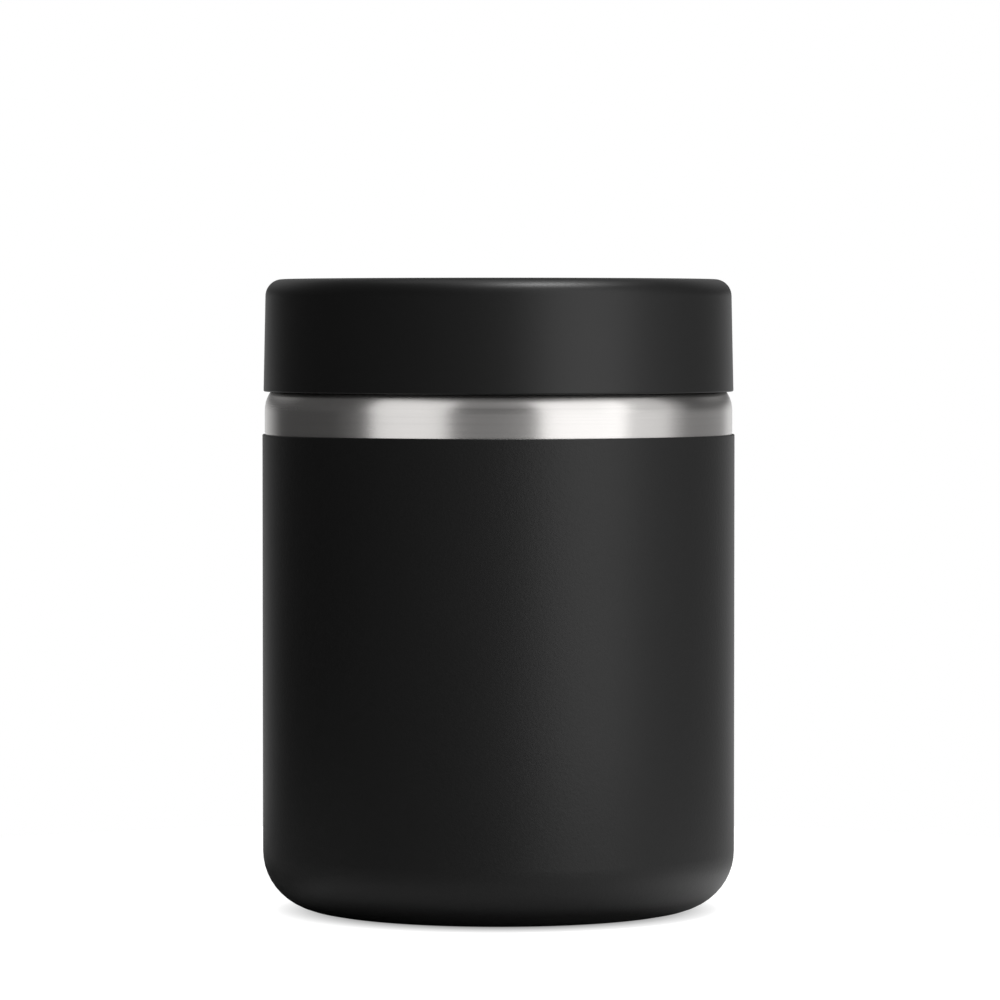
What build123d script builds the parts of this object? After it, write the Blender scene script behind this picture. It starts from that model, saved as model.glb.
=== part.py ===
"""Vacuum-insulated food jar with a screw lid.

The jar is a double steel wall. An outer shell with a turned-in shoulder and a threaded neck is
closed below by a base cup, and a deep-drawn liner hangs inside it from its turned-out lip. The
space between them is a vacuum, with a foil screen round the liner and a getter on the base cup. It
is sealed by a bead under a pressed cover, which is also the foot. A coat covers the wall below a
bare steel band.

The lid is a moulded shell over a threaded inner cap. The cap's plug is filled with foam and closed
by a disc, and a silicone gasket round it seals on the lip.

The origin is on the table at the middle of the base, +Z is up, and sizes are in millimetres.
"""

import os
from math import acos, cos, degrees, hypot, radians, sin, sqrt

from build123d import *

# ---------------------------------------------------------------- driving dimensions
# Outer shell
shell_radius = 50.0  # outside of the bare steel wall
shell_wall = 0.6
shoulder_height = 107.0  # where the wall starts to turn in
shoulder_radius = 7.0
shoulder_step = 5.0  # how far the neck stands in from the wall
neck_fillet = 1.2

# Base cup, with a recess for the cover and a dimple for the vacuum seal
base_corner = 12.0
base_seam_rise = 1.2  # straight wall between the corner and the weld seam
base_ring = 2.5  # ring between the corner and the recess
recess_depth = 2.0
recess_round = 1.0
recess_fillet = 0.5
dimple_radius = 6.0
dimple_depth = 1.6
dimple_round = 0.9
dimple_fillet = 0.4
seal_hole_radius = 1.0

# Liner
liner_wall = 0.5
neck_gap = 1.1  # vacuum space inside the neck
floor_gap = 4.1  # vacuum space under the food floor
liner_corner = 10.0
lip_drop = 1.0  # how far the lip turns down over the neck
lip_round = 0.9

# Coat
coat_thickness = 0.5
coat_clearance = 0.3  # the coat stays this far off the table
coat_top_round = 0.25
coat_hem = 0.2  # the coat stops this far short of the recess's rounded edge
steel_band = 5.1  # bare steel between the coat and the shoulder
mask_groove_depth = 0.15  # fine line turned in the steel above the coat
mask_groove_height = 0.35

# Base cover, the pressed dish that the jar stands on
cover_wall = 0.5
cover_fit = 0.1  # glue gap between the cover and the recess
foot_width = 4.4
foot_height = 1.6  # how far the cover's panel stands off the table
foot_round = 0.9
foot_fillet = 0.4

# Vacuum seal, getter and foil
seal_bead_gap = 1.5  # between the bead and the dimple round it
seal_bead_height = 0.9
seal_bead_round = 0.4
seal_stem_fit = 0.05
seal_stem_proud = 0.3
getter_offset = 18.0  # from the jar's axis
getter_radius = 4.0
getter_height = 1.2
getter_fit = 0.05
holder_wall = 0.4
holder_rim = 1.2
holder_round = 0.5
foil_thickness = 0.2
foil_fit = 0.05
foil_margin = 2.0  # kept clear of the liner's corner and of the shoulder
foil_seam = 1.0  # gap where the foil's two edges meet

# Thread, several starts, right-handed
thread_starts = 3
thread_lead = 12.0  # rise in one full turn
thread_sweep = 135.0  # degrees that one ridge runs round
thread_depth = 1.2
thread_root_width = 2.0
thread_crest_width = 1.0
thread_gap = 0.3  # clearance on the crests and on the loaded flanks
thread_above_edge = 0.25  # from the cap's lower edge to its first ridge
thread_below_lip = 0.6  # from the neck's last ridge to the lip's edge
thread_bite = 0.2  # how far a ridge is rooted in its wall
thread_runout = 6.0  # offset of the circle that tapers a ridge's ends

# Lid shell
lid_overhang = 0.25  # how far the skirt stands out past the steel wall
lid_draft = 0.5  # how much narrower the lid is at its top
lid_edge_radius = 3.6
lid_top_wall = 2.2
lid_ledge = 1.2  # inward step that the inner cap is welded up against
lid_inner_round = 2.0
skirt_edge = 1.1  # width of the skirt's lower edge
skirt_gap = 0.35  # running gap between that edge and the steel shoulder
skirt_lead_in = 1.5  # height of the bevel inside that edge
skirt_edge_round = 0.3

# Inner cap, with the plug that reaches into the mouth
cap_wall = 1.45
cap_fit = 0.05  # gap between mouldings that are welded together
cap_above_shoulder = 0.5  # running gap over the steel shoulder
cap_round = 0.6
deck_thickness = 1.8
plug_gap = 1.6  # between the plug and the mouth
plug_wall = 1.6
plug_depth = 8.9  # from the deck down to the closing disc
bead_width = 0.7  # bead that holds the gasket on the plug
bead_height = 1.0

# Disc that closes the plug, and the foam above it
disc_thickness = 1.4
disc_spigot = 1.2
disc_round = 0.9
foam_fit = 0.1
foam_room = 5.5  # height of the space between the deck and the lid's top

# Gasket
gasket_thickness = 1.8
gasket_fit = 0.3  # gap to the plug
gasket_overhang = 0.8  # how far the gasket stands out past the neck
gasket_lip_gap = 0.4  # between the gasket's lip and the mouth
gasket_lip_depth = 2.2
gasket_round = 0.35
rim_gap = 0.1  # between the gasket and the steel lip

# ---------------------------------------------------------------- places worked out from them
steel_bottom = coat_clearance + coat_thickness
base_seam = steel_bottom + base_corner + base_seam_rise
recess_radius = shell_radius - base_corner - base_ring
recess_roof = steel_bottom + recess_depth
dimple_roof = recess_roof + dimple_depth
base_floor = recess_roof + shell_wall
coat_top = shoulder_height - steel_band

neck_radius = shell_radius - shoulder_step
shoulder_centre = shell_radius - shoulder_radius
liner_radius = neck_radius - shell_wall - neck_gap
mouth_radius = liner_radius - liner_wall
liner_floor = base_floor + floor_gap + liner_wall

thread_rise = thread_lead * thread_sweep / 360
thread_crest = neck_radius + thread_depth
cap_thread_root = thread_crest + thread_gap
flank_slope = (thread_root_width - thread_crest_width) / 2 / thread_depth
flanks_touch = thread_root_width - flank_slope * (thread_depth + thread_gap)

shoulder_under_cap = shoulder_height + sqrt(
    shoulder_radius**2 - (cap_thread_root - shoulder_centre) ** 2
)
cap_bottom = shoulder_under_cap + cap_above_shoulder
cap_thread_start = cap_bottom + thread_above_edge + thread_root_width / 2
neck_thread_start = cap_thread_start + flanks_touch + thread_gap
lip_edge = neck_thread_start + thread_rise + thread_root_width / 2 + thread_below_lip
rim_height = lip_edge + lip_drop

gasket_bottom = rim_height + rim_gap
gasket_lip_end = gasket_bottom - gasket_lip_depth
deck_underside = gasket_bottom + gasket_thickness
deck_top = deck_underside + deck_thickness
plug_radius = mouth_radius - plug_gap
plug_bore = plug_radius - plug_wall
plug_bottom = deck_underside - plug_depth
cap_radius = cap_thread_root + cap_wall

lid_radius = shell_radius + lid_overhang
lid_bore = cap_radius + cap_fit
skirt_inside = lid_radius - skirt_edge
lid_bottom = shoulder_height + sqrt(
    (shoulder_radius + skirt_gap) ** 2 - (skirt_inside - shoulder_centre) ** 2
)
lid_ceiling = deck_top + foam_room
lid_top = lid_ceiling + lid_top_wall


# ---------------------------------------------------------------- thread ridges
def ridge_section(root, crest, height):
    """Trapezoid across a ridge, standing on the wall at root and rooted a little way into it."""
    into_wall = root + (thread_bite if root > crest else -thread_bite)
    with BuildSketch(Plane.XZ) as section:
        with BuildLine():
            Polyline(
                (into_wall, height - thread_root_width / 2),
                (root, height - thread_root_width / 2),
                (crest, height - thread_crest_width / 2),
                (crest, height + thread_crest_width / 2),
                (root, height + thread_root_width / 2),
                (into_wall, height + thread_root_width / 2),
                close=True,
            )
        make_face()
    return section.sketch


def runout_radius(end, offset):
    """Radius of the circle, moved by offset to the ridge's middle, that is at end at its two ends."""
    half_sweep = radians(thread_sweep / 2)
    return hypot(end * cos(half_sweep) - offset, end * sin(half_sweep))


runout = Vector(thread_runout, 0, 0).rotate(Axis.Z, thread_sweep / 2)
neck_ridge_section = ridge_section(neck_radius, thread_crest, neck_thread_start)
cap_ridge_section = ridge_section(
    cap_thread_root, neck_radius + thread_gap, cap_thread_start
)

with BuildPart() as neck_ridge:
    with BuildLine() as neck_helix:
        Helix(thread_lead, thread_rise, neck_radius, center=(0, 0, neck_thread_start))
    sweep(neck_ridge_section, path=neck_helix.line, is_frenet=True)
    with Locations(runout + Vector(0, 0, neck_thread_start)):
        Cylinder(
            runout_radius(neck_radius - thread_bite / 2, thread_runout),
            4 * thread_lead,
            mode=Mode.INTERSECT,
        )

with BuildPart() as cap_ridge:
    with BuildLine() as cap_helix:
        Helix(thread_lead, thread_rise, cap_thread_root, center=(0, 0, cap_thread_start))
    sweep(cap_ridge_section, path=cap_helix.line, is_frenet=True)
    with Locations(Vector(0, 0, cap_thread_start) - runout):
        Cylinder(
            runout_radius(cap_thread_root + thread_bite / 2, -thread_runout),
            4 * thread_lead,
            mode=Mode.SUBTRACT,
        )

# ---------------------------------------------------------------- jar: steel walls
with BuildPart() as outer_shell:
    with BuildSketch(Plane.XZ):
        with BuildLine():
            Line((shell_radius, base_seam), (shell_radius, shoulder_height))
            shoulder_turn = degrees(acos((neck_radius - shoulder_centre) / shoulder_radius))
            shoulder = CenterArc(
                (shoulder_centre, shoulder_height), shoulder_radius, 0, shoulder_turn
            )
            neck = Line(shoulder @ 1, (neck_radius, lip_edge))
            fillet(neck.vertices().sort_by(Axis.Z)[0], neck_fillet)
            offset(amount=shell_wall, side=Side.LEFT)
        make_face()
    revolve(axis=Axis.Z)
    with BuildSketch(Plane.XZ):
        with Locations((shell_radius, coat_top + mask_groove_height / 2)):
            Rectangle(2 * mask_groove_depth, mask_groove_height)
    revolve(axis=Axis.Z, mode=Mode.SUBTRACT)
    with PolarLocations(0, thread_starts):
        add(neck_ridge.part)
outer_shell.part.label = "outer_shell"

with BuildPart() as outer_base:
    with BuildSketch(Plane.XZ):
        with BuildLine():
            FilletPolyline(
                (shell_radius, base_seam),
                (shell_radius, steel_bottom),
                (recess_radius, steel_bottom),
                (recess_radius, recess_roof),
                (dimple_radius, recess_roof),
                (dimple_radius, dimple_roof),
                (seal_hole_radius, dimple_roof),
                radius=[base_corner, recess_round, recess_fillet, dimple_round, dimple_fillet],
            )
            offset(amount=shell_wall, side=Side.RIGHT)
        make_face()
    revolve(axis=Axis.Z)
outer_base.part.label = "outer_base"

with BuildPart() as inner_liner:
    with BuildSketch(Plane.XZ):
        with BuildLine():
            FilletPolyline(
                (0, liner_floor),
                (mouth_radius, liner_floor),
                (mouth_radius, rim_height),
                (neck_radius, rim_height),
                (neck_radius, lip_edge),
                radius=[liner_corner, lip_round, lip_round],
            )
            offset(amount=liner_wall, side=Side.RIGHT)
        make_face()
    revolve(axis=Axis.Z)
inner_liner.part.label = "inner_liner"

with BuildPart() as body_coat:
    with BuildSketch(Plane.XZ) as coat_section:
        with BuildLine():
            FilletPolyline(
                (shell_radius, coat_top),
                (shell_radius, steel_bottom),
                (recess_radius + recess_round + coat_hem, steel_bottom),
                radius=base_corner,
            )
            offset(amount=coat_thickness, side=Side.LEFT)
        make_face()
        coat_edge = coat_section.vertices().group_by(Axis.Z)[-1].sort_by(Axis.X)[-1]
        fillet(coat_edge, coat_top_round)
    revolve(axis=Axis.Z)
body_coat.part.label = "body_coat"

# ---------------------------------------------------------------- jar: base cover and vacuum parts
with BuildPart() as base_cover:
    with BuildSketch(Plane.XZ):
        with BuildLine():
            cover_radius = recess_radius - cover_fit
            foot_bore = cover_radius - foot_width
            FilletPolyline(
                (cover_radius, recess_roof - recess_fillet),
                (cover_radius, 0),
                (foot_bore, 0),
                (foot_bore, foot_height),
                (0, foot_height),
                radius=[foot_round, foot_round, foot_fillet],
            )
            offset(amount=cover_wall, side=Side.RIGHT)
        make_face()
    revolve(axis=Axis.Z)
base_cover.part.label = "base_cover"

with BuildPart() as vacuum_seal:
    with BuildSketch(Plane.XZ):
        with BuildLine():
            bead_radius = dimple_radius - seal_bead_gap
            stem_radius = seal_hole_radius - seal_stem_fit
            stem_top = dimple_roof + shell_wall + seal_stem_proud
            FilletPolyline(
                (0, dimple_roof - seal_bead_height),
                (bead_radius, dimple_roof - seal_bead_height),
                (bead_radius, dimple_roof),
                (stem_radius, dimple_roof),
                (stem_radius, stem_top),
                (0, stem_top),
                radius=[0, seal_bead_round, 0, 0, 0, 0],
                close=True,
            )
        make_face()
    revolve(axis=Axis.Z)
vacuum_seal.part.label = "vacuum_seal"

getter_axis = Axis((getter_offset, 0, 0), (0, 0, 1))
getter_seat = base_floor + holder_wall
with BuildPart() as getter_holder:
    with BuildSketch(Plane.XZ):
        with BuildLine():
            holder_bore = getter_offset + getter_radius + getter_fit
            FilletPolyline(
                (getter_offset, getter_seat),
                (holder_bore, getter_seat),
                (holder_bore, getter_seat + getter_height + holder_wall),
                (holder_bore + holder_rim, getter_seat + getter_height + holder_wall),
                radius=[0, holder_round],
            )
            offset(amount=holder_wall, side=Side.RIGHT)
        make_face()
    revolve(axis=getter_axis)
getter_holder.part.label = "getter_holder"

with BuildPart() as getter_pellet:
    with BuildSketch(Plane.XY.offset(getter_seat)):
        with Locations((getter_offset, 0)):
            Circle(getter_radius)
    extrude(amount=getter_height)
getter_pellet.part.label = "getter_pellet"

with BuildPart() as radiation_foil:
    foil_bottom = liner_floor + liner_corner + foil_margin
    foil_top = shoulder_height - foil_margin
    with BuildSketch(Plane.XY.offset(foil_bottom)):
        Circle(liner_radius + foil_fit + foil_thickness)
        Circle(liner_radius + foil_fit, mode=Mode.SUBTRACT)
        with Locations((-liner_radius, 0)):
            Rectangle(2 * liner_wall + 4 * foil_thickness, foil_seam, mode=Mode.SUBTRACT)
    extrude(amount=foil_top - foil_bottom)
radiation_foil.part.label = "radiation_foil"

# ---------------------------------------------------------------- lid
with BuildPart() as lid_shell:
    with BuildSketch(Plane.XZ):
        with BuildLine():
            FilletPolyline(
                (0, lid_top),
                (lid_radius - lid_draft, lid_top),
                (lid_radius, lid_bottom),
                (skirt_inside, lid_bottom),
                (lid_bore, lid_bottom + skirt_lead_in),
                (lid_bore, deck_top),
                (lid_bore - lid_ledge, deck_top),
                (lid_bore - lid_ledge, lid_ceiling),
                (0, lid_ceiling),
                radius=[0, lid_edge_radius, skirt_edge_round, 0, 0, 0, 0, lid_inner_round, 0],
                close=True,
            )
        make_face()
    revolve(axis=Axis.Z)
lid_shell.part.label = "lid_shell"

with BuildPart() as inner_cap:
    with BuildSketch(Plane.XZ):
        with BuildLine():
            bead_top = gasket_lip_end - gasket_fit
            FilletPolyline(
                (plug_bore, plug_bottom),
                (plug_radius, plug_bottom),
                (plug_radius, bead_top - bead_height),
                (plug_radius + bead_width, bead_top),
                (plug_radius, bead_top),
                (plug_radius, deck_underside),
                (cap_thread_root, deck_underside),
                (cap_thread_root, cap_bottom),
                (cap_radius, cap_bottom),
                (cap_radius, deck_top),
                (plug_bore, deck_top),
                radius=[0, 0, 0, gasket_round / 2, 0, 0, cap_round, 0, cap_round, 0, cap_round],
                close=True,
            )
        make_face()
    revolve(axis=Axis.Z)
    with PolarLocations(0, thread_starts):
        add(cap_ridge.part)
inner_cap.part.label = "inner_cap"

with BuildPart() as plug_disc:
    with BuildSketch(Plane.XZ):
        with BuildLine():
            spigot_radius = plug_bore - cap_fit
            FilletPolyline(
                (0, plug_bottom - disc_thickness),
                (plug_radius, plug_bottom - disc_thickness),
                (plug_radius, plug_bottom),
                (spigot_radius, plug_bottom),
                (spigot_radius, plug_bottom + disc_spigot),
                (0, plug_bottom + disc_spigot),
                radius=[0, disc_round, 0, 0, 0, 0],
                close=True,
            )
        make_face()
    revolve(axis=Axis.Z)
plug_disc.part.label = "plug_disc"

with BuildPart() as lid_foam:
    with BuildSketch(Plane.XZ):
        with BuildLine():
            foam_bottom = plug_bottom + disc_spigot + foam_fit
            foam_top = lid_ceiling - foam_fit
            plug_foam_radius = plug_bore - foam_fit
            top_foam_radius = lid_bore - lid_ledge - foam_fit
            FilletPolyline(
                (0, foam_bottom),
                (plug_foam_radius, foam_bottom),
                (plug_foam_radius, deck_top + foam_fit),
                (top_foam_radius, deck_top + foam_fit),
                (top_foam_radius, foam_top),
                (0, foam_top),
                radius=[0, 0, cap_round + foam_fit, 0, lid_inner_round - foam_fit, 0],
                close=True,
            )
        make_face()
    revolve(axis=Axis.Z)
lid_foam.part.label = "lid_foam"

with BuildPart() as lid_gasket:
    with BuildSketch(Plane.XZ) as gasket_section:
        with BuildLine():
            gasket_bore = plug_radius + gasket_fit
            lip_outside = mouth_radius - gasket_lip_gap
            gasket_radius = neck_radius + gasket_overhang
            Polyline(
                (gasket_bore, gasket_lip_end),
                (lip_outside, gasket_lip_end),
                (lip_outside, gasket_bottom),
                (gasket_radius, gasket_bottom),
                (gasket_radius, deck_underside),
                (gasket_bore, deck_underside),
                close=True,
            )
        make_face()
        fillet(gasket_section.vertices(), gasket_round)
    revolve(axis=Axis.Z)
lid_gasket.part.label = "lid_gasket"

# ---------------------------------------------------------------- files
pieces = [
    outer_shell,
    outer_base,
    inner_liner,
    body_coat,
    base_cover,
    vacuum_seal,
    getter_holder,
    getter_pellet,
    radiation_foil,
    lid_shell,
    inner_cap,
    plug_disc,
    lid_foam,
    lid_gasket,
]
os.makedirs("parts", exist_ok=True)
for piece in pieces:
    export_step(piece.part, f"parts/{piece.part.label}.step")
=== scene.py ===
"""Looks of the insulated food jar: spun steel walls, powder coat, moulded screw lid and a pale studio.

Lengths are in metres. The outside sizes come from the frame, and walls and roundings are named here.
"""

from math import acos, atan2, ceil, cos, pi, radians, sin, tan

import bmesh
import bpy
import numpy as np
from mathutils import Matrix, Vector


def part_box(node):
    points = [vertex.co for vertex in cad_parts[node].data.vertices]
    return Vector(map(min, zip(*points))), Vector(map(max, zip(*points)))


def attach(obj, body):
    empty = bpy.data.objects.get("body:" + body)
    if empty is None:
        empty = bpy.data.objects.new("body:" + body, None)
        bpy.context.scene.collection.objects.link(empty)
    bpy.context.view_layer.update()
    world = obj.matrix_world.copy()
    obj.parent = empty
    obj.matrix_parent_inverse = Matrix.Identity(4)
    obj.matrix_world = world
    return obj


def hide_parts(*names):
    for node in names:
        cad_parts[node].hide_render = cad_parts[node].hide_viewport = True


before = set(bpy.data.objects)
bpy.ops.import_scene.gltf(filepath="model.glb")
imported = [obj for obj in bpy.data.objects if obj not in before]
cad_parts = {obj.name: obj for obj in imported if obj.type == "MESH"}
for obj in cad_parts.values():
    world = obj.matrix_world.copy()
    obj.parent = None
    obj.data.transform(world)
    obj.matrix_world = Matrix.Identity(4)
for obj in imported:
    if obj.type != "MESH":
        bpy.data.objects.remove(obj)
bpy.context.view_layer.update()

MM = 0.001

# Facets of the turned meshes
SEGMENTS = 288
ARC_STEP = radians(7.5)
LONGEST_RUN = 5 * MM
THREAD_RUN = 0.1 * MM
EDGE_FACET = 0.25 * MM
ON_AXIS = 0.001 * MM
SMOOTH_ANGLE = radians(60)

# Walls and roundings of the steel
SHELL_WALL = 0.6 * MM
LINER_WALL = 0.5 * MM
COVER_WALL = 0.5 * MM
STEEL_BAND = 5.1 * MM
SHOULDER_ROUND = 7.0 * MM
NECK_FILLET = 1.2 * MM
GROOVE_DEPTH = 0.15 * MM
GROOVE_HEIGHT = 0.35 * MM
LINER_CORNER = 10.0 * MM
LIP_WIDTH = 2.2 * MM
LIP_DROP = 1.0 * MM
LIP_ROUND = 0.9 * MM
FOOT_WIDTH = 4.4 * MM
FOOT_HEIGHT = 1.6 * MM
FOOT_ROUND = 0.9 * MM
FOOT_FILLET = 0.4 * MM

# Coat
COAT_WALL = 0.5 * MM
COAT_CORNER = 12.5 * MM
COAT_HEM = 1.3 * MM
COAT_EDGE_ROUND = 0.25 * MM

# Screw thread
THREAD_STARTS = 3
THREAD_LEAD = 12.0 * MM
THREAD_SWEEP = radians(135)
THREAD_FADE = radians(14)
THREAD_DEPTH = 1.2 * MM
RIDGE_ROOT = 2.0 * MM
RIDGE_CREST = 1.0 * MM
RIDGE_OVER_EDGE = 1.25 * MM
RIDGE_UNDER_LIP = 1.6 * MM

# Lid mouldings
LID_OVERHANG = 0.25 * MM
LID_DRAFT = 0.5 * MM
LID_EDGE_ROUND = 3.6 * MM
LID_TOP_WALL = 2.2 * MM
LID_INNER_ROUND = 2.0 * MM
LID_LEDGE = 1.2 * MM
WELD_GAP = 0.05 * MM
SKIRT_EDGE = 1.1 * MM
SKIRT_EDGE_ROUND = 0.3 * MM
SKIRT_LEAD_IN = 1.5 * MM
CAP_WALL = 1.45 * MM
CAP_ROUND = 0.6 * MM
DECK = 1.8 * MM
PLUG_WALL = 1.6 * MM
BEAD_WIDTH = 0.7 * MM
BEAD_HEIGHT = 1.0 * MM
DISC_FLANGE = 1.4 * MM
DISC_ROUND = 0.9 * MM

# Gasket
GASKET_GAP = 0.3 * MM
GASKET_LIP_DEPTH = 2.2 * MM
GASKET_LIP_GAP = 0.4 * MM
GASKET_ROUND = 0.35 * MM

# Camera: its focal length in millimetres, its place, and its tilt down in radians
CAMERA_LENS = 197.6
CAMERA_PLACE = (0.00032, -1.17498, 0.1263)
CAMERA_TILT = 0.0328

# Floor: its size, its paint, and the distances from the axis between which its glow turns it white in
# view
# toward the jar the glow fades out, a painted shadow laid over the jar's real shadow on the paint
FLOOR_BORE = 0.031
FLOOR_RADIUS = 0.2
FLOOR_PAINT = 0.3
FLOOR_WHITE_EDGES = (0.031, 0.048)

# Floor in reflections, painted light: pale on the right and behind, dimmer far out, painted shade in
# front and on the left
PAINTED_PALE_GLOW = 0.65
PALE_RISE = (0.056, 0.085)
PALE_SLANT = 0.4
FAR_SHARE = 0.48
FAR_FADE = (0.065, 0.105)
FRONT_EDGES = (-0.085, -0.03)
LEFT_EDGES = (0.07, 0.16)

# Floor in reflections: the painted grey glow in a ring round the jar, which ends on the left
PAINTED_RING_GLOW = 0.2
RING_RISE = (0.045, 0.055)
RING_FADE = (0.062, 0.08)
RING_LEFT_EDGES = (0.02, 0.045)

# Room: its size, its paint, and its wall's grey at azimuths in degrees from the camera's side to +X
ROOM_RADIUS = 2.6
ROOM_HEIGHT = 3.2
ROOM_DROP = 0.3
ROOM_PAINT = 0.1
WALL_GREYS = [
    (-165, 0.78),
    (-150, 0.45),
    (-135, 0.04),
    (-90, 0.02),
    (-75, 0.1),
    (-14, 0.25),
    (0, 0.27),
    (20, 0.35),
    (85, 0.35),
    (105, 0.27),
    (122, 0.28),
    (142, 0.36),
    (154, 0.82),
]

# Room above the wall's grey: the ceiling, and a paler band high up behind the jar
CEILING_GREY = 0.06
CEILING_RISE = (0.12, 0.4)
HIGH_BAND_GREY = 0.4
HIGH_BAND_DEPTH = (1.3, 2.5)
HIGH_BAND_RISE = (0.4, 1.0)
HIGH_BAND_FADE = (1.6, 2.4)

# Lamps: the place that they face, and the azimuth and elevation in degrees, distance, width, height,
# brightness and shape of each
LIT_PLACE = Vector((0, 0, 0.07))
LAMPS = {
    "main_softbox": (42.3, 12, 1.25, 1.05, 1.36, 1.36, "RECTANGLE"),
    "fill_softbox": (78, 14, 1.25, 1.15, 1.25, 0.24, "ELLIPSE"),
    "front_card": (-2, 32, 1.3, 0.6, 0.6, 0.2, "RECTANGLE"),
    "top_softbox": (45, 70, 1.3, 0.5, 0.35, 19, "RECTANGLE"),
    "overhead_card": (180, 78, 1.3, 1.0, 0.6, 0.8, "RECTANGLE"),
}
STEEL_LAMPS = {
    "left_steel_softbox": (-44, 15, 1.3, 0.97, 1.3, 1.06, "RECTANGLE"),
    "right_steel_softbox": (79, 14, 1.25, 0.66, 1.25, 0.46, "ELLIPSE"),
}


# ---------------------------------------------------------------- turned meshes
def arc(centre, radius, start, end):
    """Points round an arc between two angles, measured from the outward radius."""
    steps = max(3, ceil(abs(end - start) / ARC_STEP))
    angles = [start + (end - start) * i / steps for i in range(steps + 1)]
    return [centre + radius * Vector((cos(angle), sin(angle))) for angle in angles]


def rounded_corner(before, corner, after, rounding):
    """Points of the arc that rounds a corner, or the corner itself where it is sharp."""
    if not rounding:
        return [corner]
    to_before = (before - corner).normalized()
    to_after = (after - corner).normalized()
    half = to_before.angle(to_after) / 2
    centre = corner + (to_before + to_after).normalized() * rounding / sin(half)
    start = corner + to_before * rounding / tan(half) - centre
    end = corner + to_after * rounding / tan(half) - centre
    start_angle = atan2(start.y, start.x)
    turn = (atan2(end.y, end.x) - start_angle + pi) % (2 * pi) - pi
    return arc(centre, rounding, start_angle, start_angle + turn)


def divided_run(start, end, longest=LONGEST_RUN):
    """Points inside a straight run, with a narrow facet at each end that keeps flat shading flat."""
    length = (end - start).length
    if length < 4 * EDGE_FACET:
        return []
    margin = EDGE_FACET / length
    parts = ceil((length - 2 * EDGE_FACET) / longest)
    return [start.lerp(end, margin + (1 - 2 * margin) * i / parts) for i in range(parts + 1)]


def outline(corners, closed=False):
    """Points of an outline in radius and height, from its corners (radius, height, rounding)."""
    places = [Vector(corner[:2]) for corner in corners]
    roundings = [corner[2] if len(corner) > 2 else 0 for corner in corners]
    count = len(places)
    arcs = []
    for i, place in enumerate(places):
        after = places[(i + 1) % count]
        arcs.append(rounded_corner(places[i - 1], place, after, roundings[i]))
    points = []
    for i, corner in enumerate(arcs):
        points += corner
        if closed or i < count - 1:
            points += divided_run(corner[-1], arcs[(i + 1) % count][0])
    return points


def finely_cut(points, radius):
    """A closed line whose straight runs at one radius are cut finely, for a thread to stand on."""
    cut = []
    for point, after in zip(points, points[1:] + points[:1]):
        cut.append(point)
        if abs(point.x - radius) < ON_AXIS and abs(after.x - radius) < ON_AXIS:
            parts = ceil((after - point).length / THREAD_RUN)
            cut += [point.lerp(after, i / parts) for i in range(1, parts)]
    return cut


def beside(points, wall):
    """The other face of a sheet, wall to the right of an open line of points."""
    ways = [(b - a).normalized() for a, b in zip(points, points[1:])]
    other = []
    for point, arriving, leaving in zip(points, ways[:1] + ways, ways + ways[-1:]):
        along = (arriving + leaving).normalized()
        right = Vector((along.y, -along.x))
        other.append(point + right * wall / cos(arriving.angle(leaving) / 2))
    return other


def sheet(corners, wall):
    """Closed line round a pressed sheet, from the corners of one face."""
    face = outline(corners)
    return face + beside(face, wall)[::-1]


def eased(share):
    """A share from 0 to 1 that starts and ends gently."""
    share = np.clip(share, 0, 1)
    return share * share * (3 - 2 * share)


def ridges(angles, heights, start):
    """How far the screw's ridges stand from their wall, at each angle and height."""
    tallest = np.zeros(np.broadcast(angles, heights).shape)
    for i in range(THREAD_STARTS):
        along = (angles - 2 * pi * i / THREAD_STARTS) % (2 * pi)
        off_centre = np.abs(heights - start - THREAD_LEAD * along / (2 * pi))
        flank = (RIDGE_ROOT / 2 - off_centre) / (RIDGE_ROOT / 2 - RIDGE_CREST / 2)
        ends = np.minimum(along, THREAD_SWEEP - along) / THREAD_FADE
        tallest = np.maximum(tallest, eased(flank) * eased(ends))
    return THREAD_DEPTH * tallest


def outward_faces(mesh):
    """Turn every face of a mesh outward."""
    work = bmesh.new()
    work.from_mesh(mesh)
    bmesh.ops.recalc_face_normals(work, faces=work.faces)
    work.to_mesh(mesh)
    work.free()


def turned(name, points, material, relief=None, closed=True):
    """A mesh turned about the jar's axis. relief moves its wall outward."""
    radii = np.array([max(point.x, 0) for point in points])
    heights = np.array([point.y for point in points])
    angles = np.arange(SEGMENTS) * 2 * pi / SEGMENTS
    reach = np.repeat(radii[:, None], SEGMENTS, axis=1)
    if relief:
        reach += relief(radii[:, None], heights[:, None], angles[None, :])
    vertices = []
    rows = []
    for i, height in enumerate(heights):
        count = SEGMENTS if radii[i] > ON_AXIS else 1
        rows.append([len(vertices) + j % count for j in range(SEGMENTS)])
        ring = zip(reach[i, :count] * np.cos(angles[:count]), reach[i, :count] * np.sin(angles[:count]))
        vertices += [(x, y, height) for x, y in ring]
    faces = []
    for lower, upper in zip(rows, rows[1:] + (rows[:1] if closed else [])):
        for j in range(SEGMENTS):
            k = (j + 1) % SEGMENTS
            corners = list(dict.fromkeys((lower[j], lower[k], upper[k], upper[j])))
            if len(corners) > 2:
                faces.append(corners)
    mesh = bpy.data.meshes.new(name)
    mesh.from_pydata(vertices, [], faces)
    outward_faces(mesh)
    mesh.shade_smooth()
    mesh.set_sharp_from_angle(angle=SMOOTH_ANGLE)
    mesh.materials.append(material)
    turned_object = bpy.data.objects.new(name, mesh)
    bpy.context.scene.collection.objects.link(turned_object)
    return turned_object


def fit(piece, body, node):
    """Carry a piece on its body, in place of a CAD node."""
    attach(piece, body)
    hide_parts(node)


def size_of(node):
    """Outside radius, lowest height and highest height of a round CAD node."""
    low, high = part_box(node)
    return high.x, low.z, high.z


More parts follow.
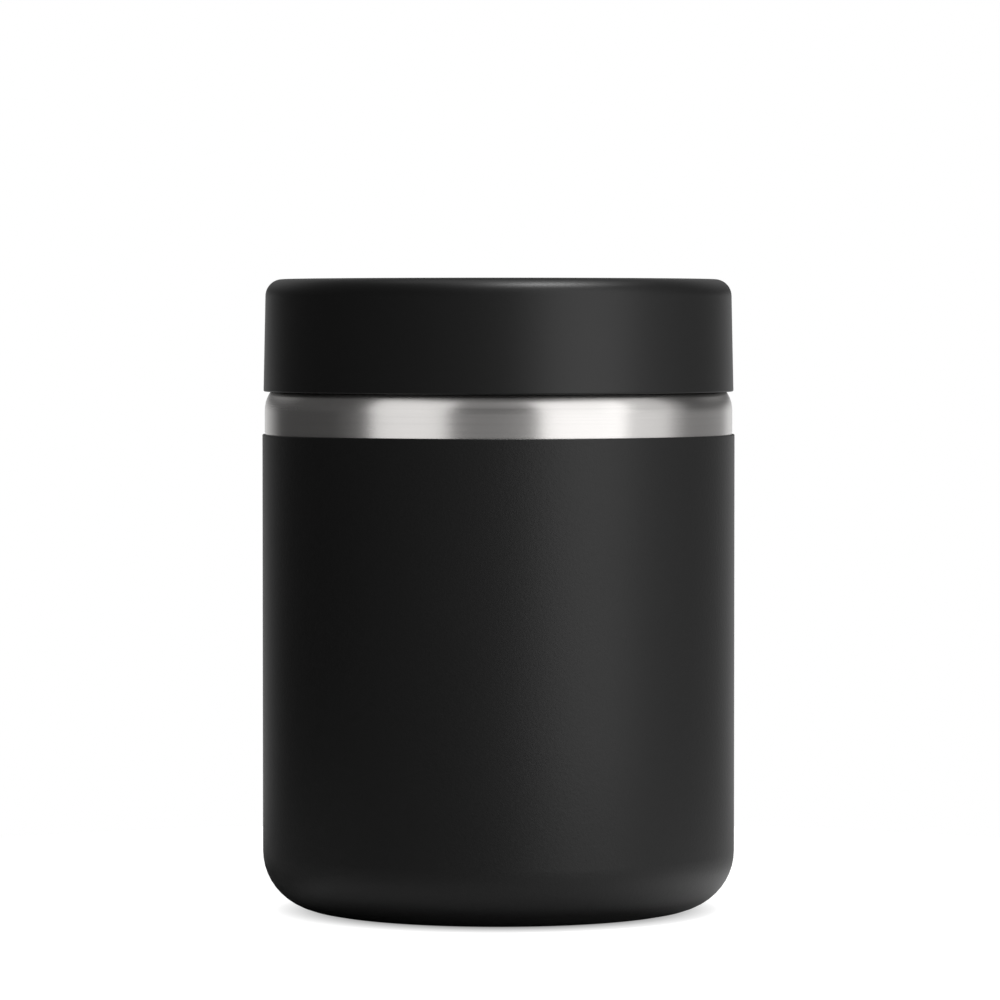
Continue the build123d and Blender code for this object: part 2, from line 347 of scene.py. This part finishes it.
# ---------------------------------------------------------------- jar
def neck_and_shoulder(radius, neck_radius, shoulder_foot, lip_edge):
    """Outside of the steel wall, from the neck's top round the fillet and down the shoulder."""
    centre = Vector((radius - SHOULDER_ROUND, shoulder_foot))
    reach = SHOULDER_ROUND + NECK_FILLET
    shoulder_end = acos((neck_radius + NECK_FILLET - centre.x) / reach)
    fillet_centre = centre + reach * Vector((cos(shoulder_end), sin(shoulder_end)))
    fillet = arc(fillet_centre, NECK_FILLET, pi, pi + shoulder_end)
    shoulder = arc(centre, SHOULDER_ROUND, shoulder_end, 0)
    neck_top = Vector((neck_radius, lip_edge))
    return [neck_top] + divided_run(neck_top, fillet[0], THREAD_RUN) + fillet + shoulder[1:]


def steel_wall(material):
    """Spun outer wall: rolled thread, neck, shoulder, and the line turned above the coat."""
    radius, seam, lip_edge = size_of("outer_shell")
    neck_radius = size_of("inner_liner")[0]
    coat_top = size_of("body_coat")[2]
    shoulder_foot = coat_top + STEEL_BAND
    groove_top = coat_top + GROOVE_HEIGHT
    groove_root = radius - GROOVE_DEPTH
    groove = [
        Vector((radius, groove_top)),
        Vector((groove_root, groove_top)),
        Vector((groove_root, coat_top)),
    ]
    above_groove = neck_and_shoulder(radius, neck_radius, shoulder_foot, lip_edge)
    above_groove += divided_run(above_groove[-1], groove[0])
    edge = Vector((radius, coat_top))
    bottom = Vector((radius, seam))
    below_groove = [edge] + divided_run(edge, bottom) + [bottom]
    inside = beside(above_groove + below_groove, SHELL_WALL)[::-1]
    start = lip_edge - RIDGE_UNDER_LIP - THREAD_LEAD * THREAD_SWEEP / (2 * pi)

    def rolled_thread(radii, heights, angles):
        on_neck = (radii < neck_radius + NECK_FILLET) & (heights > shoulder_foot)
        return on_neck * ridges(angles, heights, start)

    points = above_groove + groove + below_groove + inside
    fit(turned("steel_wall", points, material, rolled_thread), "jar", "outer_shell")


def liner(material):
    """Deep-drawn liner, from the food floor up the mouth and over the lip."""
    radius, bottom, rim = size_of("inner_liner")
    mouth = radius - LIP_WIDTH
    floor = bottom + LINER_WALL
    corners = [
        (0, floor),
        (mouth, floor, LINER_CORNER),
        (mouth, rim, LIP_ROUND),
        (radius, rim, LIP_ROUND),
        (radius, rim - LIP_DROP),
    ]
    fit(turned("liner", sheet(corners, LINER_WALL), material), "jar", "inner_liner")


def coat(material):
    """Powder coat, from its masked edge down round the base corner to the recess."""
    radius, bottom, top = size_of("body_coat")
    hem = size_of("base_cover")[0] + COAT_HEM
    corners = [
        (radius - COAT_WALL, top),
        (radius, top, COAT_EDGE_ROUND),
        (radius, bottom, COAT_CORNER),
        (hem, bottom),
        (hem, bottom + COAT_WALL),
        (radius - COAT_WALL, bottom + COAT_WALL, COAT_CORNER - COAT_WALL),
    ]
    fit(turned("powder_coat", outline(corners, closed=True), material), "jar", "body_coat")


def foot_dish(material):
    """Pressed dish in the base, whose rim is the ring that the jar stands on."""
    radius, bottom, rim = size_of("base_cover")
    bore = radius - FOOT_WIDTH
    corners = [
        (radius, rim),
        (radius, bottom, FOOT_ROUND),
        (bore, bottom, FOOT_ROUND),
        (bore, bottom + FOOT_HEIGHT, FOOT_FILLET),
        (0, bottom + FOOT_HEIGHT),
    ]
    fit(turned("foot_dish", sheet(corners, COVER_WALL), material), "jar", "base_cover")


# ---------------------------------------------------------------- lid
def lid_cover(material):
    """Moulded outer shell of the lid."""
    bottom, top = size_of("lid_shell")[1:]
    radius = size_of("outer_shell")[0] + LID_OVERHANG
    bore = size_of("inner_cap")[0] + WELD_GAP
    deck_top = size_of("inner_cap")[2]
    ledge = bore - LID_LEDGE
    ceiling = top - LID_TOP_WALL
    corners = [
        (0, top),
        (radius - LID_DRAFT, top, LID_EDGE_ROUND),
        (radius, bottom, SKIRT_EDGE_ROUND),
        (radius - SKIRT_EDGE, bottom),
        (bore, bottom + SKIRT_LEAD_IN),
        (bore, deck_top),
        (ledge, deck_top),
        (ledge, ceiling, LID_INNER_ROUND),
        (0, ceiling),
    ]
    fit(turned("lid_cover", outline(corners), material), "lid", "lid_shell")


def threaded_cap(material):
    """Inner moulding of the lid: threaded skirt, deck, and the plug's wall with its gasket bead."""
    radius, bottom, deck_top = size_of("inner_cap")
    plug_radius, disc_bottom = size_of("plug_disc")[:2]
    plug_bottom = disc_bottom + DISC_FLANGE
    bead_top = size_of("lid_gasket")[1] - GASKET_GAP
    deck = deck_top - DECK
    bore = plug_radius - PLUG_WALL
    root = radius - CAP_WALL
    corners = [
        (bore, plug_bottom),
        (plug_radius, plug_bottom),
        (plug_radius, bead_top - BEAD_HEIGHT),
        (plug_radius + BEAD_WIDTH, bead_top, GASKET_ROUND / 2),
        (plug_radius, bead_top),
        (plug_radius, deck),
        (root, deck, CAP_ROUND),
        (root, bottom),
        (radius, bottom, CAP_ROUND),
        (radius, deck_top),
        (bore, deck_top, CAP_ROUND),
    ]
    start = bottom + RIDGE_OVER_EDGE

    def moulded_thread(radii, heights, angles):
        on_root = (abs(radii - root) < WELD_GAP) & (heights > bottom) & (heights < deck)
        return on_root * -ridges(angles, heights, start)

    points = finely_cut(outline(corners, closed=True), root)
    fit(turned("threaded_cap", points, material, moulded_thread), "lid", "inner_cap")


def plug_plate(material):
    """Disc welded into the plug's lower end."""
    radius, bottom, top = size_of("plug_disc")
    spigot = radius - PLUG_WALL - WELD_GAP
    corners = [
        (0, bottom),
        (radius, bottom, DISC_ROUND),
        (radius, bottom + DISC_FLANGE),
        (spigot, bottom + DISC_FLANGE),
        (spigot, top),
        (0, top),
    ]
    fit(turned("plug_plate", outline(corners), material), "lid", "plug_disc")


def seal_ring(material):
    """Silicone gasket with a flat flange on the steel lip and a lip that reaches into the mouth."""
    radius, bottom, top = size_of("lid_gasket")
    bore = size_of("plug_disc")[0] + GASKET_GAP
    lip = size_of("inner_liner")[0] - LIP_WIDTH - GASKET_LIP_GAP
    flange = bottom + GASKET_LIP_DEPTH
    places = [(bore, bottom), (lip, bottom), (lip, flange), (radius, flange), (radius, top), (bore, top)]
    points = outline([place + (GASKET_ROUND,) for place in places], closed=True)
    fit(turned("seal_ring", points, material), "lid_seal", "lid_gasket")


# ---------------------------------------------------------------- shader nodes
def add(tree, kind, inputs=None, **settings):
    """A node with its settings, and with inputs that are plain values or sockets to link."""
    node = tree.nodes.new(kind)
    for name, value in settings.items():
        setattr(node, name, value)
    for key, value in (inputs or {}).items():
        if isinstance(value, bpy.types.NodeSocket):
            tree.links.new(value, node.inputs[key])
        else:
            node.inputs[key].default_value = value
    return node


def reckon(tree, operation, *values):
    """Result of a Math node."""
    return add(tree, "ShaderNodeMath", dict(enumerate(values)), operation=operation).outputs[0]


def span(tree, share, low, high, start=0.0, end=1.0):
    """A share between start and end, turned into a value between low and high."""
    limits = {"Value": share, "From Min": start, "From Max": end, "To Min": low, "To Max": high}
    return add(tree, "ShaderNodeMapRange", limits).outputs["Result"]


def noise(tree, place, scale, detail, **settings):
    """Grey level of a noise texture."""
    inputs = {"Vector": place, "Scale": scale, "Detail": detail}
    return add(tree, "ShaderNodeTexNoise", inputs, **settings).outputs["Fac"]


def product(tree, first, *others):
    """Product of several values."""
    for value in others:
        first = reckon(tree, "MULTIPLY", first, value)
    return first


def magnitude(tree, vector):
    """Length of a vector."""
    return add(tree, "ShaderNodeVectorMath", {0: vector}, operation="LENGTH").outputs["Value"]


def object_place(tree):
    """Place on the object, in metres."""
    return add(tree, "ShaderNodeTexCoord").outputs["Object"]


def new_group(name, values, results):
    """An empty shader node group with named number sockets, and its two end nodes."""
    tree = bpy.data.node_groups.new(name, "ShaderNodeTree")
    for label, value in values.items():
        socket = tree.interface.new_socket(label, in_out="INPUT", socket_type="NodeSocketFloat")
        socket.default_value = value
    for label in results:
        tree.interface.new_socket(label, in_out="OUTPUT", socket_type="NodeSocketFloat")
    return tree, add(tree, "NodeGroupInput").outputs, add(tree, "NodeGroupOutput").inputs


def fine_grain():
    """Small soft pits, as on a baked powder coat or in an eroded mould."""
    values = {"Cells per metre": 1500, "Fineness": 3.0, "Fine share": 0.4, "Patches per metre": 60}
    tree, given, result = new_group("fine_grain", values, ["Height", "Mottle"])
    place = object_place(tree)
    coarse = noise(tree, place, given["Cells per metre"], 1.0)
    fine_scale = reckon(tree, "MULTIPLY", given["Cells per metre"], given["Fineness"])
    fine = noise(tree, place, fine_scale, 1.0)
    mixed = add(tree, "ShaderNodeMix", {0: given["Fine share"], 2: coarse, 3: fine})
    tree.links.new(mixed.outputs[0], result["Height"])
    patches = noise(tree, place, given["Patches per metre"], 3.0)
    half_patches = reckon(tree, "MULTIPLY", patches, 0.5)
    mottle = reckon(tree, "MULTIPLY_ADD", mixed.outputs[0], 0.5, half_patches)
    tree.links.new(mottle, result["Mottle"])
    return tree


def turned_lines():
    """Fine lines that run round the axis, as a lathe or a polishing belt leaves them."""
    values = {"Lines per metre": 3000, "Breaks per metre": 10}
    tree, given, result = new_group("turned_lines", values, ["Height", "Shade"])
    place = object_place(tree)
    across = add(tree, "ShaderNodeVectorMath", {0: place, 1: (1, 1, 0)}, operation="MULTIPLY")
    radius = magnitude(tree, across.outputs[0])
    axes = add(tree, "ShaderNodeSeparateXYZ", {0: place}).outputs
    stretched = add(
        tree,
        "ShaderNodeCombineXYZ",
        {
            "X": reckon(tree, "MULTIPLY", radius, given["Lines per metre"]),
            "Y": reckon(tree, "MULTIPLY", axes["Z"], given["Lines per metre"]),
            "Z": reckon(tree, "MULTIPLY", axes["X"], given["Breaks per metre"]),
        },
    )
    wander = reckon(tree, "MULTIPLY", axes["Y"], given["Breaks per metre"])
    inputs = {"Vector": stretched.outputs[0], "W": wander, "Scale": 1.0, "Detail": 2.0}
    lines = add(tree, "ShaderNodeTexNoise", inputs, noise_dimensions="4D").outputs["Fac"]
    tree.links.new(lines, result["Height"])
    tree.links.new(span(tree, lines, 0.0, 1.0, 0.3, 0.7), result["Shade"])
    return tree


def handling_marks():
    """Faint smears that hands and cloths leave: broad patches, broken up by finer ones."""
    values = {"Marks per metre": 18, "Spread": 0.2}
    tree, given, result = new_group("handling_marks", values, ["Mark"])
    place = object_place(tree)
    broad = noise(tree, place, given["Marks per metre"], 4.0, noise_type="FBM")
    low = reckon(tree, "SUBTRACT", 0.5, given["Spread"])
    high = reckon(tree, "ADD", 0.5, given["Spread"])
    tree.links.new(span(tree, broad, 0.0, 1.0, low, high), result["Mark"])
    return tree


GRAIN = fine_grain()
LINES = turned_lines()
MARKS = handling_marks()


def new_finish(name, values):
    """A material with one Principled shader that holds its fixed values."""
    material = bpy.data.materials.new(name)
    material.use_nodes = True
    shader = material.node_tree.nodes["Principled BSDF"]
    for key, value in values.items():
        shader.inputs[key].default_value = value
    return material, material.node_tree, shader.inputs


def use(tree, group, values):
    """Outputs of a node group placed in a material with its own values."""
    node = add(tree, "ShaderNodeGroup", node_tree=group)
    for key, value in values.items():
        node.inputs[key].default_value = value
    return node.outputs


def shade(tree, shader, share, dark, light):
    """Base colour between two colours."""
    inputs = {0: share, 6: (*dark, 1.0), 7: (*light, 1.0)}
    mixed = add(tree, "ShaderNodeMix", inputs, data_type="RGBA")
    tree.links.new(mixed.outputs[2], shader["Base Color"])


def emboss(tree, shader, height, depth):
    """Relief of a real depth, on the shader's normal."""
    relief = add(tree, "ShaderNodeBump", {"Height": height, "Distance": depth, "Strength": 1.0})
    tree.links.new(relief.outputs[0], shader["Normal"])


# ---------------------------------------------------------------- finishes
def satin_powder_coat():
    """Baked black powder coat, finely pitted, with a satin shine that handling varies."""
    material, tree, shader = new_finish("satin_black_powder_coat", {"IOR": 1.46})
    grain = use(tree, GRAIN, {"Cells per metre": 1300, "Fineness": 2.7, "Fine share": 0.4})
    marks = use(tree, MARKS, {"Marks per metre": 16, "Spread": 0.3})
    shade(tree, shader, grain["Mottle"], (0.005, 0.005, 0.005), (0.0085, 0.0085, 0.0085))
    tree.links.new(span(tree, marks["Mark"], 0.43, 0.47), shader["Roughness"])
    emboss(tree, shader, grain["Height"], 0.045 * MM)
    return material


def satin_lid_plastic():
    """Black plastic out of an eroded mould, a little smoother than the coat."""
    material, tree, shader = new_finish("satin_black_moulded_plastic", {"IOR": 1.5})
    grain = use(tree, GRAIN, {"Cells per metre": 2200, "Fineness": 2.3, "Fine share": 0.5})
    marks = use(tree, MARKS, {"Marks per metre": 22, "Spread": 0.3})
    shade(tree, shader, grain["Mottle"], (0.003, 0.003, 0.003), (0.006, 0.006, 0.006))
    tree.links.new(span(tree, marks["Mark"], 0.41, 0.45), shader["Roughness"])
    emboss(tree, shader, grain["Height"], 0.015 * MM)
    return material


def inner_plastic():
    """Smooth dark plastic of the lid's inner mouldings."""
    material, tree, shader = new_finish("smooth_dark_inner_plastic", {"IOR": 1.49})
    grain = use(tree, GRAIN, {"Cells per metre": 900, "Fineness": 4.0, "Fine share": 0.3})
    marks = use(tree, MARKS, {"Marks per metre": 30, "Spread": 0.2})
    shade(tree, shader, grain["Mottle"], (0.024, 0.024, 0.025), (0.036, 0.036, 0.038))
    tree.links.new(span(tree, marks["Mark"], 0.33, 0.42), shader["Roughness"])
    emboss(tree, shader, grain["Height"], 0.003 * MM)
    return material


def turned_steel(name, lines_per_metre, roughness, depth):
    """Stainless steel whose fine lines run round the axis, so that its shine spreads across them."""
    values = {"Metallic": 1.0, "Anisotropic": 0.5, "Anisotropic Rotation": 0.25}
    material, tree, shader = new_finish(name, values)
    lines = use(tree, LINES, {"Lines per metre": lines_per_metre, "Breaks per metre": 9})
    marks = use(tree, MARKS, {"Marks per metre": 24, "Spread": 0.25})
    shade(tree, shader, lines["Shade"], (0.615, 0.6, 0.588), (0.645, 0.629, 0.617))
    half_shade = reckon(tree, "MULTIPLY", lines["Shade"], 0.5)
    wear = reckon(tree, "MULTIPLY_ADD", marks["Mark"], 0.5, half_shade)
    tree.links.new(span(tree, wear, *roughness), shader["Roughness"])
    emboss(tree, shader, lines["Height"], depth)
    round_axis = add(tree, "ShaderNodeTangent", direction_type="RADIAL", axis="Z")
    tree.links.new(round_axis.outputs[0], shader["Tangent"])
    return material


def copper_foil():
    """Bright copper foil, crinkled as it was wrapped."""
    material, tree, shader = new_finish("crinkled_copper_foil", {"Metallic": 1.0})
    place = object_place(tree)
    folds = add(tree, "ShaderNodeTexVoronoi", {"Vector": place, "Scale": 160}, feature="F1")
    soft = noise(tree, place, 320, 3.0)
    shade(tree, shader, soft, (0.68, 0.33, 0.2), (0.86, 0.47, 0.3))
    tree.links.new(span(tree, soft, 0.18, 0.34), shader["Roughness"])
    emboss(tree, shader, folds.outputs["Distance"], 0.25 * MM)
    return material


def pressed_getter():
    """Grey metal powder, pressed into its cup."""
    material, tree, shader = new_finish("pressed_getter_powder", {"Metallic": 0.4, "IOR": 1.5})
    grain = use(tree, GRAIN, {"Cells per metre": 4000, "Fineness": 2.5, "Fine share": 0.5})
    shade(tree, shader, grain["Mottle"], (0.13, 0.125, 0.12), (0.26, 0.25, 0.24))
    tree.links.new(span(tree, grain["Height"], 0.6, 0.85), shader["Roughness"])
    emboss(tree, shader, grain["Height"], 0.05 * MM)
    return material


def cast_solder():
    """Solder that set dull and a little uneven."""
    material, tree, shader = new_finish("dull_cast_solder", {"Metallic": 1.0})
    grain = use(tree, GRAIN, {"Cells per metre": 700, "Fineness": 4.0, "Fine share": 0.3})
    shade(tree, shader, grain["Mottle"], (0.42, 0.42, 0.43), (0.62, 0.62, 0.63))
    tree.links.new(span(tree, grain["Height"], 0.35, 0.6), shader["Roughness"])
    emboss(tree, shader, grain["Height"], 0.03 * MM)
    return material


def closed_cell_foam():
    """Pale foam whose cells show as shallow hollows."""
    material, tree, shader = new_finish("pale_closed_cell_foam", {"IOR": 1.4})
    place = object_place(tree)
    cells = add(tree, "ShaderNodeTexVoronoi", {"Vector": place, "Scale": 1400}, feature="F1")
    hollow = cells.outputs["Distance"]
    shade(tree, shader, hollow, (0.86, 0.85, 0.81), (0.7, 0.69, 0.65))
    tree.links.new(span(tree, hollow, 0.8, 0.95), shader["Roughness"])
    emboss(tree, shader, hollow, 0.15 * MM)
    return material


def soft_silicone():
    """Grey silicone with a soft, uneven shine."""
    material, tree, shader = new_finish("grey_silicone", {"IOR": 1.42})
    grain = use(tree, GRAIN, {"Cells per metre": 1800, "Fineness": 3.0, "Fine share": 0.5})
    marks = use(tree, MARKS, {"Marks per metre": 60, "Spread": 0.25})
    shade(tree, shader, grain["Mottle"], (0.24, 0.24, 0.25), (0.32, 0.32, 0.33))
    tree.links.new(span(tree, marks["Mark"], 0.5, 0.62), shader["Roughness"])
    emboss(tree, shader, grain["Height"], 0.006 * MM)
    return material


def dress(material, *nodes):
    """Give CAD nodes that stay in view their finish."""
    for node in nodes:
        for material_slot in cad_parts[node].material_slots:
            material_slot.material = material


# ---------------------------------------------------------------- studio
def painted_floor_reflection(tree, place, distance):
    """Painted light and shade of the floor in reflections: its pale glow, and the grey glow in a ring
    round the jar.
    """
    axes = add(tree, "ShaderNodeSeparateXYZ", {0: place}).outputs
    leftward = reckon(tree, "SUBTRACT", axes["Y"], axes["X"])
    slanted_distance = reckon(tree, "MULTIPLY_ADD", axes["X"], PALE_SLANT, distance)
    pale = product(
        tree,
        span(tree, slanted_distance, 0.0, PAINTED_PALE_GLOW, *PALE_RISE),
        span(tree, axes["Y"], 0.0, 1.0, *FRONT_EDGES),
        span(tree, leftward, 1.0, 0.0, *LEFT_EDGES),
        span(tree, distance, 1.0, FAR_SHARE, *FAR_FADE),
    )
    ring = product(
        tree,
        span(tree, distance, 0.0, PAINTED_RING_GLOW, *RING_RISE),
        span(tree, distance, 1.0, 0.0, *RING_FADE),
        span(tree, leftward, 1.0, 0.0, *RING_LEFT_EDGES),
    )
    return reckon(tree, "ADD", pale, ring)


def floor_finish():
    """Pale floor that glows white in view, fading to a painted shadow over the jar's real one, and is
    clear from below.
    """
    paint = (FLOOR_PAINT, FLOOR_PAINT, FLOOR_PAINT, 1.0)
    values = {"Base Color": paint, "Roughness": 0.9, "Emission Color": (1, 1, 1, 1)}
    material, tree, shader = new_finish("pale_floor", values)
    place = object_place(tree)
    distance = magnitude(tree, place)
    # Painted shadow: the camera's white glow fades out toward the jar, darkening the floor round the
    # foot
    white_glow_with_painted_shadow = span(tree, distance, 0.0, 1.0, *FLOOR_WHITE_EDGES)
    rays = add(tree, "ShaderNodeLightPath").outputs
    in_mirror = reckon(tree, "MAXIMUM", rays["Is Glossy Ray"], rays["Is Transmission Ray"])
    # In reflections the floor glows with painted light and shade
    painted_reflection_glow = product(tree, in_mirror, painted_floor_reflection(tree, place, distance))
    glow = reckon(tree, "MULTIPLY_ADD", rays["Is Camera Ray"], white_glow_with_painted_shadow, painted_reflection_glow)
    tree.links.new(glow, shader["Emission Strength"])
    underside = add(tree, "ShaderNodeNewGeometry").outputs["Backfacing"]
    tree.links.new(reckon(tree, "SUBTRACT", 1.0, underside), shader["Alpha"])
    return material


def room_finish():
    """Walls and ground of the studio: white behind the jar, dark curtains in front and beside it."""
    paint = (ROOM_PAINT, ROOM_PAINT, ROOM_PAINT, 1.0)
    values = {"Base Color": paint, "Roughness": 1.0, "Emission Strength": 1.0}
    material, tree, shader = new_finish("studio_walls", values)
    place = object_place(tree)
    around = add(tree, "ShaderNodeTexGradient", {"Vector": place}, gradient_type="RADIAL")
    wall = add(tree, "ShaderNodeValToRGB", {"Fac": around.outputs["Fac"]})
    stops = wall.color_ramp.elements
    for azimuth, grey in WALL_GREYS:
        stop = stops.new((azimuth / 360 + 0.25) % 1)
        stop.color = (grey, grey, grey, 1)
    stops.remove(stops[0])
    stops.remove(stops[-1])
    axes = add(tree, "ShaderNodeSeparateXYZ", {0: place}).outputs
    above_wall = span(tree, axes["Z"], 0.0, 1.0, *CEILING_RISE)
    high_band = product(
        tree,
        span(tree, axes["Y"], 0.0, HIGH_BAND_GREY, *HIGH_BAND_DEPTH),
        span(tree, axes["Z"], 0.0, 1.0, *HIGH_BAND_RISE),
        span(tree, axes["Z"], 1.0, 0.0, *HIGH_BAND_FADE),
    )
    ceiling = reckon(tree, "ADD", high_band, CEILING_GREY)
    inputs = {0: above_wall, 6: wall.outputs[0], 7: ceiling}
    mixed = add(tree, "ShaderNodeMix", inputs, data_type="RGBA")
    tree.links.new(mixed.outputs[2], shader["Emission Color"])
    return material


def studio_room():
    """Floor that the camera sees, and a closed room that only reflections and light see."""
    ring = [Vector((FLOOR_BORE, 0)), Vector((FLOOR_RADIUS, 0))]
    floor = turned("floor", ring, floor_finish(), closed=False)
    floor.data.flip_normals()
    shell = [
        Vector((0, -ROOM_DROP)),
        Vector((ROOM_RADIUS, -ROOM_DROP)),
        Vector((ROOM_RADIUS, ROOM_HEIGHT)),
        Vector((0, ROOM_HEIGHT)),
    ]
    room = turned("studio_room", shell, room_finish(), closed=False)
    room.visible_camera = False
    world = bpy.data.worlds.new("white_studio")
    world.use_nodes = True
    background = world.node_tree.nodes["Background"].inputs
    background["Color"].default_value = (1, 1, 1, 1)
    background["Strength"].default_value = 1.0
    bpy.context.scene.world = world


def softbox(name, azimuth, elevation, distance, width, height, brightness, shape):
    """Soft lamp that faces the jar. Azimuth is from the camera's side towards +X."""
    lamp = bpy.data.lights.new(name, "AREA")
    lamp.shape = shape
    lamp.size = width
    lamp.size_y = height
    area = width * height * (pi / 4 if shape == "ELLIPSE" else 1)
    lamp.energy = brightness * pi * area
    turn = radians(azimuth)
    rise = radians(elevation)
    way = Vector((sin(turn) * cos(rise), -cos(turn) * cos(rise), sin(rise)))
    box = bpy.data.objects.new(name, lamp)
    box.location = LIT_PLACE + way * distance
    box.rotation_euler = way.to_track_quat("Z", "Y").to_euler()
    bpy.context.scene.collection.objects.link(box)
    return box


def keep_light_on(name, pieces, softboxes):
    """Flag lamps off, so that their light falls on these pieces alone."""
    lit = bpy.data.collections.new(name)
    for piece in pieces:
        lit.objects.link(bpy.data.objects[piece])
    for box in softboxes:
        box.light_linking.receiver_collection = lit


def camera():
    """Long lens in front of the jar, a little above its middle and tilted down."""
    lens = bpy.data.cameras.new("camera")
    lens.lens = CAMERA_LENS
    view = bpy.data.objects.new("camera", lens)
    view.location = CAMERA_PLACE
    view.rotation_euler = (pi / 2 - CAMERA_TILT, 0, 0)
    bpy.context.scene.collection.objects.link(view)
    bpy.context.scene.camera = view


# ---------------------------------------------------------------- the jar in its studio
steel = turned_steel(
    "brushed_steel",
    lines_per_metre=3000,
    roughness=(0.25, 0.28),
    depth=0.0002 * MM,
)
drawn_steel = turned_steel(
    "drawn_liner_steel",
    lines_per_metre=1800,
    roughness=(0.16, 0.24),
    depth=0.001 * MM,
)
dark_plastic = inner_plastic()
steel_wall(steel)
liner(drawn_steel)
coat(satin_powder_coat())
foot_dish(drawn_steel)
lid_cover(satin_lid_plastic())
threaded_cap(dark_plastic)
plug_plate(dark_plastic)
seal_ring(soft_silicone())
dress(drawn_steel, "outer_base", "getter_holder")
dress(cast_solder(), "vacuum_seal")
dress(pressed_getter(), "getter_pellet")
dress(copper_foil(), "radiation_foil")
dress(closed_cell_foam(), "lid_foam")

studio_room()
for name, setting in LAMPS.items():
    softbox(name, *setting)
steel_softboxes = [softbox(name, *setting) for name, setting in STEEL_LAMPS.items()]
keep_light_on("bare_steel", ["steel_wall", "liner"], steel_softboxes)
camera()

bpy.context.scene.view_settings.view_transform = "Standard"
